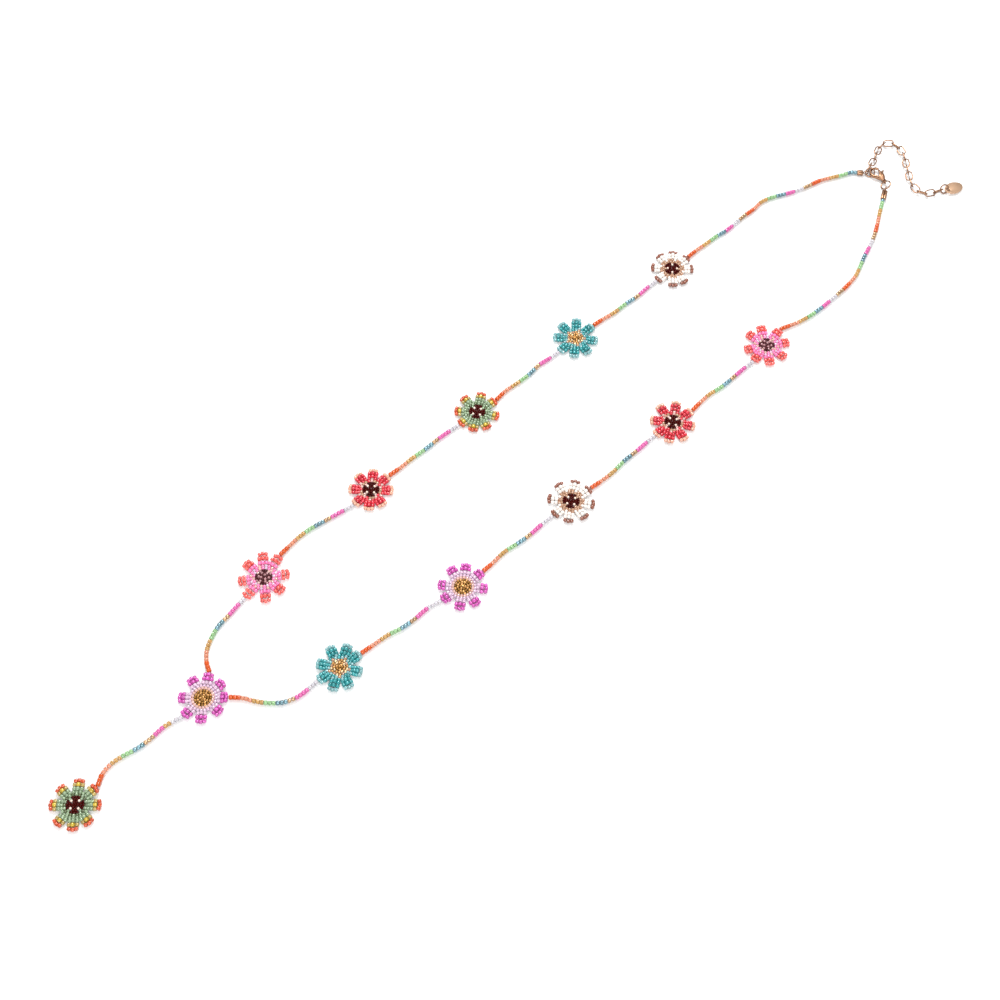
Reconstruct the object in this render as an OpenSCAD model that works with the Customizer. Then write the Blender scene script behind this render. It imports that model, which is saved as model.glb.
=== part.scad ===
// A long necklace of seed beads and netted bead flowers, lying on a flat surface. Millimetres, +Z up.
// +Y runs from the drop flower to the clasp, and the origin is on the surface under the middle.

/* [Beads] */
// Diameter of a string of seed beads
bead_d = 2; // [1.8:0.1:2.2]
// Gap left between two pieces that meet
gap = 0.12; // [0.1:0.01:0.15]

/* [Flowers] */
// From a flower's middle to its petal tips, before each flower's own reach is added
tip_r = 9.6; // [9.4:0.1:9.8]
// Width of a petal
petal_w = 4.6; // [4.4:0.1:4.8]
// Height of a petal at its crest
petal_h = 2.2; // [2:0.1:2.4]
// From a flower's middle to the petals' crest
crest_at = 6.6; // [6:0.1:7]
// Radius that the petals are rounded over with, from the collar to the tips
crest_round = 8; // [7:0.5:9]
// Radius of the collar between the petals
collar_r = 5.4; // [5:0.1:5.8]
// Radius of the domed centre
centre_r = 3.9; // [3.6:0.1:4]
// Height of the dome at its middle
centre_h = 1.9; // [1.8:0.1:2.2]
// Height of the dome at its rim
centre_rim_h = 1.6; // [1.5:0.1:1.7]

/* [Chain] */
// Length of a chain link
link_l = 5.35; // [5.3:0.01:5.45]
// Width of a chain link
link_w = 3.4; // [3.3:0.05:3.5]
// Thickness of the links' wire
link_wire_d = 0.56; // [0.5:0.02:0.58]
// Thickness of the jump rings' wire
wire_d = 0.6; // [0.5:0.05:0.62]
// From one link's middle to the next
link_pitch = 3.83; // [3.76:0.01:3.86]

/* [Clasp] */
// Thickness of the clasp's body
clasp_t = 2.4; // [2.2:0.1:2.6]
// Thickness of the hook's bar
hook_d = 1.1; // [1:0.05:1.2]
// Thickness of the lever
lever_t = 1; // [0.8:0.05:1]

/* [Tag] */
// Length of the oval tag
tag_l = 9.4; // [9:0.1:9.8]
// Width of the oval tag
tag_w = 6.1; // [5.8:0.1:6.4]
// Thickness of the tag
tag_t = 0.6; // [0.5:0.05:0.65]

/* [Hidden] */
// Finishes
rose_gold = "#B97E5A";
string_colour = "#E08A60";
// Petal and centre colours of each kind of flower
kinds = [["#F2EEE6", "#3A1A12"], ["#2FA0A0", "#C89A4A"], ["#8CB896", "#3A0608"],
         ["#E03048", "#3A0E0E"], ["#F2607A", "#5A2A2E"], ["#C83CB0", "#B8853A"]];
white = 0;
teal = 1;
green = 2;
red = 3;
coral = 4;
violet = 5;

// Flowers along the necklace: x, y, kind, how much further its petals reach than tip_r, how much more along
// stretch_way, and the directions of its eight petal tips in degrees
flowers = [
    [-27.2, 105.8, white, 0, 0.3, [48, 90, 133, 174, 223, 270, 317, 353]],
    [-28.7, 48.6, teal, 0.3, 0.5, [39, 88, 134, 180, 226, 273, 313, 353]],
    [-28.8, -7.7, green, 0.1, 0.2, [34, 85, 127, 178, 226, 269, 307, 347]],
    [-29.6, -64.4, red, -0.2, 0.4, [46, 91, 134, 179, 226, 275, 315, 354]],
    [-27.2, -120.8, coral, 0.7, 1.1, [10, 57, 108, 145, 189, 239, 281, 327]],
    [-2.4, -168.5, violet, 0, 0.8, [8, 50, 90, 130, 172, 228, 276, 319]],
    [0.1, -227.6, green, 0.2, 0.2, [0, 48, 92, 136, 184, 229, 279, 320]],
    [22.2, -122.4, teal, -0.3, 0.9, [35, 84, 121, 165, 218, 263, 305, 346]],
    [28.0, -65.1, violet, 0.5, 0.3, [43, 89, 131, 170, 223, 264, 311, 354]],
    [28.4, -7.4, white, 0.3, 0.2, [39, 85, 126, 171, 221, 270, 310, 354]],
    [29.2, 49.8, red, 0.1, 0.9, [34, 82, 126, 172, 222, 268, 305, 346]],
    [28.6, 107.2, coral, 0.6, 0.4, [7, 57, 100, 148, 190, 243, 281, 322]]];
stretch_way = 130;

// The eyes of the two cord ends, the way each runs to its string in degrees, and its barrel's length
left_eye = [-6.8, 211.15];
left_way = 224;
left_barrel = 2.6;
right_eye = [5.55, 210.65];
right_way = -59;
right_barrel = 4.9;
eye_r = 0.7;
eye_wall = 0.45;
eye_t = 0.55;
left_eye_z = 1.2;
right_eye_z = 1.37;
lead_in = 2.5;
barrel_from = 1.3;
barrel_z = 1.17;
flap_r = 0.72;
flap_side = 0.52;
plate_w = 2.3;
plate_from = 0.3;

// Jump rings: middle of the wire's circle, the heading of the line each is tilted about, and the tilt
left_ring_r = 2;
left_ring_at = [-5.55, 212.65, 1.38];
left_ring_way = 44;
left_ring_tilt = 32;
clasp_ring_r = 2.2;
clasp_ring_at = [4.22, 212.25, 1.47];
clasp_ring_way = -46;
clasp_ring_tilt = 32;
tag_ring_r = 1.9;
tag_ring_tilt = 50;
tag_ring_in = 1.05;
tag_way = 62;

// The chain starts on the left ring. Each link has its own heading, and rolls about it, both in degrees.
chain_from = [-6.8, 212.65];
headings = [112, 108, 114, 115, 93, 46, 5, -20, -35, -39, -39, -38, -31, -9, 25, 60, 70];
rolls = [0, 0, 0, 6, 24, 32, 34, 30, 27, 24, 23, 24, 28, 31, 32, 28, 22];
flat_z = 1.55;
link_sides = 6;
link_arc_steps = 5;

// Clasp: its tail eye lies at tail_at and it points along clasp_way. X runs to the nose and -Y to the lever.
tail_at = [2.6, 213.7];
clasp_way = 164;
clasp_z = 1.35;
tail_turn = -26;
neck_w = 1.3;
body_outline = [[0.9, -0.65], [2, -1], [3.1, -1.4], [4.3, -1.5], [4.9, -1.1], [4.9, 3.5], [4.4, 3.4],
                [3.7, 2.85], [2.7, 1.9], [1.8, 1.1], [0.9, 0.65]];
crown_at = [3.4, 0.9];
crown_r = 9;
heel_at = [2.1, 0.3];
heel_r = 1;
hook_at = [6.2, 1];
hook_r = 2.5;
hook_from = -52;
hook_to = 165;
mouth_r = 2.05;
pivot_at = [2.9, -0.3];
pin_r = 0.35;
pin_play = 0.07;
pin_end = 0.3;
root_r = 0.85;
slot_t = lever_t + 0.2;
slot_from = [1.9, -3];
slot_size = [4.3, 3.95];
lever_outline = [[2.9, 0.5], [4.6, -0.15], [6.95, -0.62], [6.95, -1.32], [4.4, -1.25], [2.9, -1.1]];
thumb_outline = [[4.3, -1.1], [5, -2.4], [5.9, -2.95], [6.2, -2.6], [5.7, -1.9], [5.8, -1.1]];

// Tag: the ring passes its hole tag_turn degrees below the ring's level line
tag_heading = 76;
tag_hole_r = 0.95;
tag_hole_in = 1.4;
tag_tilt = 6;
tag_turn = 25;

// Puts the middle of the whole necklace over the origin
centring = [-0.04, -0.92];
steps = 48;
tube_sides = 8;

function flower_at(n) = [flowers[n - 1][0], flowers[n - 1][1]];
function along(way) = [cos(way), sin(way)];
function unit(v) = v / norm(v);
function ways(n) = flowers[n - 1][5];
// From the middle of flower n to the tip of its petal in a direction
function reach(n, way) = tip_r + flowers[n - 1][3] + flowers[n - 1][4] * pow(cos(way - stretch_way), 2);
// The place just outside petal tip k of flower n, where a string begins
function tip(n, k) = let (way = ways(n)[k]) flower_at(n) + (reach(n, way) + gap) * along(way);
// The place just outside a cord end where its string stops, or one lead_in further back
function mouth(eye, way, barrel, back = 0) = eye + (barrel_from + barrel + gap + back) * along(way);

// Routes of the strings round the loop, from the left cord end to the right one, and of the drop string
routes = [
    [tip(1, 1), [-27.3, 121.5], [-27, 127.5], [-26.9, 133.5], [-26.2, 139.5], [-26.4, 145.5], [-26.7, 151.5],
     [-26.5, 157.5], [-27, 163], [-25.5, 169], [-23, 174.5], [-20.8, 180], [-19.2, 186], [-18, 191.5],
     [-15.7, 197], [-13.3, 202], mouth(left_eye, left_way, left_barrel, lead_in),
     mouth(left_eye, left_way, left_barrel)],
    [tip(2, 1), [-28, 64], [-27.2, 70.5], [-27.3, 77], [-26.8, 83.5], [-27.2, 90], tip(1, 5)],
    [tip(3, 1), [-28.6, 8.5], [-28.2, 15], [-28.2, 21.5], [-28.9, 27.5], [-28.4, 33.5], tip(2, 5)],
    [tip(4, 1), [-29.5, -48.5], [-29.7, -42], [-29.4, -35.5], [-29.6, -29], [-29.4, -22.5], tip(3, 5)],
    [tip(5, 2), [-31.3, -105.5], [-32, -99], [-31.8, -93], [-30.8, -87], [-29.8, -80.5], tip(4, 5)],
    [tip(6, 3), [-13, -159], [-17, -156], [-20, -151.5], [-22.2, -146.5], [-23.2, -141], [-24.3, -135.8],
     tip(5, 6)],
    [tip(6, 1), [7.5, -157.5], [12, -154.5], [16, -151], [19.2, -147], [21, -142], [21.3, -137], tip(8, 5)],
    [tip(8, 1), [23.8, -106], [24.3, -100], [25.6, -94], [26, -88], [25.8, -81], tip(9, 5)],
    [tip(9, 1), [28.1, -49.5], [27.5, -43], [28.2, -36.5], [28.6, -30], [28.3, -23.5], tip(10, 5)],
    [tip(10, 1), [29.8, 8.5], [29.9, 15], [29.2, 21.5], [29.2, 28], [29, 34.5], tip(11, 5)],
    [tip(11, 1), [30.1, 65], [29.8, 71], [30.6, 77.5], [30.6, 84], [30.4, 91], tip(12, 6)],
    [tip(12, 2), [28.2, 122], [29.8, 127.5], [30.7, 133.5], [31, 139.5], [31, 145.5], [30.8, 151.5],
     [30.4, 157.5], [29.4, 163.5], [27.2, 169], [24.8, 174.5], [22.6, 180.5], [20, 186.5], [16.6, 192.5],
     [12.8, 198.5], mouth(right_eye, right_way, right_barrel, lead_in),
     mouth(right_eye, right_way, right_barrel)]];
drop_route = [tip(7, 2), [-3, -213.5], [-4, -208.5], [-3.5, -203.5], [-2.5, -198.5], [-2.3, -192.5],
              [-2.8, -186.5], [-2.2, -182], tip(6, 6)];

// Where each chain link begins, counted from the first
function link_from(i) = i == 0 ? chain_from : link_from(i - 1) + link_pitch * along(headings[i - 1]);
function link_middle(i) = link_from(i) + link_pitch / 2 * along(headings[i]);
last_link = len(headings) - 1;
last_wire = link_middle(last_link) + (link_l - link_wire_d) / 2 * along(headings[last_link]);
tag_ring_z = tag_ring_r * sin(tag_ring_tilt) + wire_d / 2;
tag_ring_middle = last_wire + (tag_ring_r - tag_ring_in) * along(tag_way);
tag_hole_at = tag_ring_middle + tag_ring_r * (cos(tag_turn) * along(tag_way)
    + sin(tag_turn) * cos(tag_ring_tilt) * along(tag_way - 90));
tag_hole_z = tag_ring_z - tag_ring_r * sin(tag_turn) * sin(tag_ring_tilt);

// Faces of a tube of rings, each with the same number of points
function tube_faces(rings, sides, closed) = concat(
    [for (i = [0:rings - (closed ? 1 : 2)], j = [0:sides - 1])
        let (a = i * sides, b = (i + 1) % rings * sides, k = (j + 1) % sides) [a + j, b + j, b + k, a + k]],
    closed ? [] : [[for (j = [0:sides - 1]) j], [for (j = [sides - 1:-1:0]) (rings - 1) * sides + j]]);

// A string of beads, as a tube that lies on the surface along its route
module tube(route) {
    last = len(route) - 1;
    points = [for (i = [0:last])
        let (way = unit(route[min(i + 1, last)] - route[max(i - 1, 0)]))
        for (j = [0:tube_sides - 1])
            let (a = 360 * j / tube_sides, side = bead_d / 2 * cos(a))
            [route[i].x + way.y * side, route[i].y - way.x * side, bead_d / 2 * (1 + sin(a))]];
    polyhedron(points, tube_faces(len(route), tube_sides, false), convexity = 6);
}

// The eight petals and their collar, bored for the centre and rounded over from the collar to the tips
module petals(n) {
    intersection() {
        linear_extrude(petal_h + 1) difference() {
            union() {
                circle(collar_r, $fn = steps);
                for (way = ways(n)) let (round_at = reach(n, way) - petal_w / 2) rotate(way) {
                    translate([0, -petal_w / 2]) square([round_at, petal_w]);
                    translate([round_at, 0]) circle(petal_w / 2, $fn = steps);
                }
            }
            circle(centre_r + gap, $fn = steps);
        }
        rotate_extrude($fn = 2 * steps) intersection() {
            translate([crest_at, petal_h - crest_round]) circle(crest_round, $fn = 2 * steps);
            translate([0, -gap]) square([crest_at + crest_round, petal_h + 2 * gap]);
        }
    }
}

// The domed middle of a flower
module centre() {
    rise = centre_h - centre_rim_h;
    dome_r = (pow(centre_r, 2) + pow(rise, 2)) / (2 * rise);
    intersection() {
        cylinder(r = centre_r, h = centre_h + 1, $fn = steps);
        translate([0, 0, centre_h - dome_r]) sphere(dome_r, $fn = 2 * steps);
    }
}

// One oval link of round wire, flat, with its length along X
module link() {
    half = (link_l - link_w) / 2;
    path_r = (link_w - link_wire_d) / 2;
    path = [for (end = [0, 1], i = [0:link_arc_steps])
        let (a = 180 * end - 90 + 180 * i / link_arc_steps) [a, half * (end == 0 ? 1 : -1)]];
    points = [for (p = path, j = [0:link_sides - 1])
        let (a = 360 * (j + 0.5) / link_sides, r = path_r + link_wire_d / 2 * cos(a))
        [p[1] + r * cos(p[0]), r * sin(p[0]), link_wire_d / 2 * sin(a)]];
    polyhedron(points, tube_faces(len(path), link_sides, true), convexity = 4);
}

// The extender chain: every second link stands on edge, and the others lie flat between them, all rolled
module extender_chain() {
    for (i = [0:last_link]) {
        on_edge = i % 2 == 0;
        edge_z = (link_w - link_wire_d) / 2 * cos(rolls[i]) + link_wire_d / 2;
        translate([link_middle(i).x, link_middle(i).y, on_edge ? edge_z : flat_z])
            rotate([on_edge ? 90 : 0, 0, 0] + [rolls[i], 0, headings[i]]) link();
    }
}

// A jump ring, tilted about a level line through its middle
module jump_ring(at, r, way, tilt) {
    translate(at) rotate([0, 0, way]) rotate([tilt, 0, 0])
        rotate_extrude($fn = steps) translate([r, 0]) circle(wire_d / 2, $fn = 24);
}

// An upright eye with its hole along Y
module eye() {
    rotate([90, 0, 0]) difference() {
        cylinder(r = eye_r + eye_wall, h = eye_t, center = true, $fn = steps);
        cylinder(r = eye_r, h = eye_t + 1, center = true, $fn = steps);
    }
}

// A folded cord end: an eye, a neck, and two flaps rolled down side by side over a plate
module cord_end(at, way, barrel, eye_z) {
    translate([at.x, at.y, 0]) rotate(way) {
        translate([0, 0, eye_z]) eye();
        translate([eye_r + eye_wall / 2, -flap_side, barrel_z - flap_side])
            cube([barrel_from - eye_r, 2 * flap_side, 2 * flap_side]);
        translate([barrel_from, -plate_w / 2, plate_from]) cube([barrel, plate_w, barrel_z - plate_from]);
        for (side = [-1, 1]) translate([barrel_from, side * flap_side, barrel_z])
            rotate([0, 90, 0]) cylinder(r = flap_r, h = barrel, $fn = steps);
    }
}

module at_clasp() translate([tail_at.x, tail_at.y, clasp_z]) rotate(clasp_way) children();

// The clasp: a tail eye, a rounded body slotted for the lever, and a round hook
module clasp_body() color(rose_gold) at_clasp() {
    difference() {
        union() {
            rotate(tail_turn) eye();
            translate([eye_r + eye_wall / 2, -neck_w / 2, -neck_w / 2]) cube([1, neck_w, neck_w]);
            translate(concat(heel_at, -slot_t / 2)) cylinder(r = heel_r, h = slot_t, $fn = steps);
            difference() {
                intersection() {
                    translate([0, 0, -clasp_t / 2]) linear_extrude(clasp_t) polygon(body_outline);
                    translate(concat(crown_at, clasp_t / 2 - crown_r)) sphere(crown_r, $fn = 2 * steps);
                    translate(concat(crown_at, crown_r - clasp_t / 2)) sphere(crown_r, $fn = 2 * steps);
                }
                translate(concat(hook_at, -clasp_t)) cylinder(r = mouth_r, h = 2 * clasp_t, $fn = steps);
            }
        }
        translate(concat(slot_from, -slot_t / 2)) cube([slot_size.x, slot_size.y, slot_t]);
    }
    translate(concat(pivot_at, -slot_t / 2 - pin_end))
        cylinder(r = pin_r, h = slot_t + 2 * pin_end, $fn = steps);
    translate(concat(hook_at, 0)) {
        rotate(hook_from) rotate_extrude(angle = hook_to - hook_from, $fn = steps)
            translate([hook_r, 0]) circle(hook_d / 2, $fn = 24);
        translate(hook_r * [cos(hook_from), sin(hook_from), 0]) sphere(hook_d / 2, $fn = 24);
    }
}

// The clasp's lever, with its thumb tab, turning on the body's pin
module clasp_lever() color(rose_gold) at_clasp() translate([0, 0, -lever_t / 2]) difference() {
    union() {
        translate(concat(pivot_at, 0)) cylinder(r = root_r, h = lever_t, $fn = steps);
        linear_extrude(lever_t) polygon(lever_outline);
        linear_extrude(lever_t) polygon(thumb_outline);
    }
    translate(concat(pivot_at, -1)) cylinder(r = pin_r + pin_play, h = lever_t + 2, $fn = steps);
}

// The plain oval tag, leaning on its ring
oval = [for (i = [0:steps - 1]) let (a = 360 * i / steps) [tag_l / 2 * cos(a), tag_w / 2 * sin(a)]];
module tag() color(rose_gold) translate([tag_hole_at.x, tag_hole_at.y, tag_hole_z])
    rotate([0, tag_tilt, tag_heading]) difference() {
        translate([tag_l / 2 - tag_hole_in, 0, -tag_t / 2]) linear_extrude(tag_t) polygon(oval);
        translate([0, 0, -tag_t]) cylinder(r = tag_hole_r, h = 2 * tag_t, $fn = steps);
    }

module laid() translate([centring.x, centring.y, 0]) children();

for (n = [1:12]) laid() color(kinds[flowers[n - 1][2]][0]) translate(flower_at(n)) petals(n);
for (n = [1:12]) laid() color(kinds[flowers[n - 1][2]][1]) translate(flower_at(n)) centre();
for (n = [1:12]) laid() color(string_colour) tube(routes[n - 1]);
laid() color(string_colour) tube(drop_route);  // drop_string
laid() color(rose_gold)  // left_cord_end
    cord_end(left_eye, left_way, left_barrel, left_eye_z);
laid() color(rose_gold)  // right_cord_end
    cord_end(right_eye, right_way, right_barrel, right_eye_z);
laid() color(rose_gold) jump_ring(left_ring_at, left_ring_r, left_ring_way, left_ring_tilt);  // left_ring
laid() color(rose_gold) jump_ring(clasp_ring_at, clasp_ring_r, clasp_ring_way, clasp_ring_tilt);  // clasp_ring
laid() clasp_body();
laid() clasp_lever();
laid() color(rose_gold) extender_chain();
laid() color(rose_gold)  // tag_ring
    jump_ring([tag_ring_middle.x, tag_ring_middle.y, tag_ring_z], tag_ring_r, tag_way, tag_ring_tilt);
laid() tag();
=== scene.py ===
"""A long necklace of seed beads and netted bead flowers, lying on a pale floor."""

import math
import random

import bmesh
import bpy
from bpy.props import FloatProperty, FloatVectorProperty, PointerProperty
from mathutils import Matrix, Vector
from mathutils.geometry import interpolate_bezier


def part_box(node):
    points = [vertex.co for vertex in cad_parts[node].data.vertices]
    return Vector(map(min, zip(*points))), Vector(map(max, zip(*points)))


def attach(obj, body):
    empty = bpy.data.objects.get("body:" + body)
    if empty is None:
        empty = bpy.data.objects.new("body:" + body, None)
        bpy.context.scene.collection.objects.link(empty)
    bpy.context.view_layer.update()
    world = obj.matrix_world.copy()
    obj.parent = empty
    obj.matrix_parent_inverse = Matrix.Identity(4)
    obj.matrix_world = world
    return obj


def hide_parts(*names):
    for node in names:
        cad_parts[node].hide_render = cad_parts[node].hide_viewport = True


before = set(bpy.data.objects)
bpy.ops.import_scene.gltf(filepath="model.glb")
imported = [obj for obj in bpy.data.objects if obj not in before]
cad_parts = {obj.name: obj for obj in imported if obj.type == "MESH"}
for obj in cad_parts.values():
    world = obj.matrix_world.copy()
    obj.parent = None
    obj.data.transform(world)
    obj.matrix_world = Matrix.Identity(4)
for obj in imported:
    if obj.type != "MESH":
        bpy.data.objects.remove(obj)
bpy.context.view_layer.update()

bl_info = {
    "name": "Beaded Sautoir",
    "version": (1, 0, 0),
    "blender": (4, 5, 0),
    "location": "3D Viewport > Sidebar > Sautoir",
    "description": "Makes a long necklace of seed beads with netted bead flowers",
    "category": "Object",
}

MM = 0.001
UP = Vector((0, 0, 1))
# Edges sharper than this are shaded as sharp
SHARP_FROM = math.radians(50)

# The photograph's camera, worked out from the even pitch of the arm flowers: its place and height in
# millimetres, its tilt from straight down and turn from +Y in degrees, and its focal length in pixels of the
# square frame
CAMERA_AT = (219.5, -216.5)
CAMERA_HEIGHT = 521
TILT = 28.5
AZIMUTH = 48.25
FOCAL_PX = 1463
FRAME_PX = 1000
SENSOR_MM = 36.0
SKY_STRENGTH = 0.9
# Square lights: where each one is and its width, in metres, and its power in watts
LIGHTS = {"key": ((-0.5, 0.4, 0.9), 0.4, 9.5), "fill": ((0.7, -0.5, 0.9), 0.8, 8.5)}
# The floor's width, and how far it lies under the necklace, in metres
FLOOR_SIZE, FLOOR_GAP = 20.0, 0.0002

# Flowers 1 to 12, as in the CAD model: the kind, how far the petals reach past the usual length, how much
# further they reach along STRETCH_WAY, both in millimetres, and in degrees the turn of the heart's pattern
# and the directions of the eight petals
FLOWERS = [
    ("white", 0.0, 0.3, 45, (48, 90, 133, 174, 223, 270, 317, 353)),
    ("teal", 0.3, 0.5, 0, (39, 88, 134, 180, 226, 273, 313, 353)),
    ("green", 0.1, 0.2, 0, (34, 85, 127, 178, 226, 269, 307, 347)),
    ("red", -0.2, 0.4, 0, (46, 91, 134, 179, 226, 275, 315, 354)),
    ("coral", 0.7, 1.1, 45, (10, 57, 108, 145, 189, 239, 281, 327)),
    ("violet", 0.0, 0.8, 0, (8, 50, 90, 130, 172, 228, 276, 319)),
    ("green", 0.2, 0.2, 45, (0, 48, 92, 136, 184, 229, 279, 320)),
    ("teal", -0.3, 0.9, 0, (35, 84, 121, 165, 218, 263, 305, 346)),
    ("violet", 0.5, 0.3, 0, (43, 89, 131, 170, 223, 264, 311, 354)),
    ("white", 0.3, 0.2, 0, (39, 85, 126, 171, 221, 270, 310, 354)),
    ("red", 0.1, 0.9, 0, (34, 82, 126, 172, 222, 268, 305, 346)),
    ("coral", 0.6, 0.4, 45, (7, 57, 100, 148, 190, 243, 281, 322)),
]
STRETCH_WAY = 130
# From a flower's middle to where a string begins, before the flower's own reach
STRING_FROM = 9.72
# Which glass each place in a flower is beaded with. Lists repeat round their ring.
CHARTS = {
    "white": {
        "core": ["maroon"], "inner": ["maroon", "ivory", "maroon"],
        "outer": ["maroon", "maroon", "champagne", "maroon"], "ruff": ["champagne"],
        "collar": ["champagne", "champagne", "pearl"],
        "root": ["pearl"], "crest": ["pearl"], "side": ["pearl"], "head": ["pearl"], "picot": ["bronze"],
    },
    "teal": {
        "core": ["antique", "gold"], "inner": ["gold", "straw", "gold"],
        "outer": ["straw", "gold", "champagne"],
        "ruff": ["champagne", "aqua", "teal", "aqua"], "collar": ["teal", "teal", "aqua"], "root": ["teal"],
        "crest": ["teal"], "side": ["teal"], "head": ["teal"], "picot": ["aqua"],
    },
    "green": {
        "core": ["maroon"], "inner": ["maroon", "ivory", "maroon"],
        "outer": ["maroon", "maroon", "sage", "maroon"],
        "ruff": ["moss", "sage"], "collar": ["sage"], "root": ["sage"], "crest": ["sage"], "side": ["olive"],
        "head": ["yellow"], "picot": ["vermilion"],
    },
    "red": {
        "core": ["maroon"], "inner": ["maroon", "ivory", "maroon"],
        "outer": ["maroon", "maroon", "blush", "maroon"],
        "ruff": ["champagne", "blush", "red", "champagne"], "collar": ["red", "red", "blush", "red"],
        "root": ["red"], "crest": ["red"],
        "side": ["red"], "head": ["red"], "picot": ["peach"],
    },
    "coral": {
        "core": ["plum", "mauve"], "inner": ["plum", "mauve"], "outer": ["plum", "mauve", "blush", "plum"],
        "ruff": ["lilac", "rose", "blush", "rose"], "collar": ["rose", "lilac", "rose", "blush"],
        "root": ["rose"], "crest": ["rose"],
        "side": ["coral"], "head": ["coral"], "picot": ["coral"],
    },
    "violet": {
        "core": ["gold", "antique"], "inner": ["gold", "antique", "gold"], "outer": ["antique", "gold"],
        "ruff": ["blush"], "collar": ["lilac"], "root": ["lilac"], "crest": ["lilac"], "side": ["magenta"],
        "head": ["magenta"], "picot": ["magenta"],
    },
}
# The light beads of a dark heart are smaller than the rest and lie higher, by a lift in millimetres
ACCENTS = {"ivory": (0.82, 0.35)}
# Where the beads of one petal lie: the place's name in the chart, then in millimetres the way out from the
# flower's middle, to the side and up, then the turn of the hole from the petal's direction in degrees, and
# the bead's size
PETAL = [
    ("root", 5.95, 1.36, 0.82, 6, 1.0), ("root", 5.95, -1.36, 0.82, -6, 1.0),
    ("side", 7.22, 1.50, 0.95, 2, 1.0), ("side", 7.22, -1.50, 0.95, -2, 1.0),
    ("crest", 5.90, 0.0, 1.30, 0, 1.0), ("head", 7.28, 0.0, 1.38, 0, 1.08),
    ("picot", 8.52, 1.34, 1.02, 110, 1.0), ("picot", 8.80, 0.0, 1.06, 90, 1.0),
    ("picot", 8.52, -1.34, 1.02, 70, 1.0),
]
# A longer petal is stretched between these distances from the flower's middle
PETAL_FROM, PETAL_TO = 5.2, 8.8
# Rings of beads round a flower's middle: the place's name, the radius and height in millimetres, the number
# of beads, where the first lies as a share of a step, the turn of the holes from straight out in degrees, and
# the beads' size
HEART_RINGS = [("core", 1.04, 1.08, 6, 0.0, 90, 1.0), ("inner", 2.02, 0.98, 12, 0.5, 90, 1.0),
               ("outer", 3.04, 0.86, 16, 0.0, 90, 1.0)]
NET_RINGS = [("ruff", 3.98, 0.84, 20, 0.0, 0, 1.1), ("collar", 4.98, 0.84, 24, 0.0, 0, 1.1)]
EYE_BEAD_Z = 1.18
# Half of a bead's outline, as shares of its half length and of its radius, and its number of sides
BEAD_OUTLINE, BEAD_SIDES = [(0.52, 1.0), (0.92, 0.85)], 9
# The beads' holes and the smallest beads, as shares of the usual bead
NET_HOLE, STRING_HOLE, SMALLEST = 0.36, 0.4, 0.95
# How far the holes in the rings and petals may point astray, in degrees
RING_SKEW, PETAL_SKEW = 4, 3
# Where the random draws of hearts, nets and strings start
HEART_SEED, NET_SEED, STRING_SEED = 100, 200, 300

# The runs of colour along a string, from the petal of the lower flower towards the clasp, with their beads
RUN = [("orange", 3), ("salmon", 3), ("amber", 3), ("leaf", 3), ("sea", 3), ("bronze_lined", 2), ("pink", 4),
       ("clear", 3)]
END_RUN = [("orange", 3), ("salmon", 3), ("amber", 3), ("leaf", 3), ("sea", 3), ("pink", 3), ("clear", 3),
           ("bronze_lined", 3)]
DROP_RUN = [("orange", 3), ("salmon", 3), ("amber", 3), ("leaf", 3), ("sea", 3), ("bronze_lined", 3),
            ("pink", 3), ("amber", 2), ("clear", 3)]
# Orange beads are a little thicker than the rest, and the pale ones thinner
GIRTH = {"orange": 1.0, "salmon": 0.92, "amber": 0.94, "clear": 0.90, "leaf": 0.94, "sea": 0.96,
         "bronze_lined": 0.92, "pink": 0.97}
# Beads are this much longer than their pitch, so that they touch
SNUG = 1.02

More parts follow.
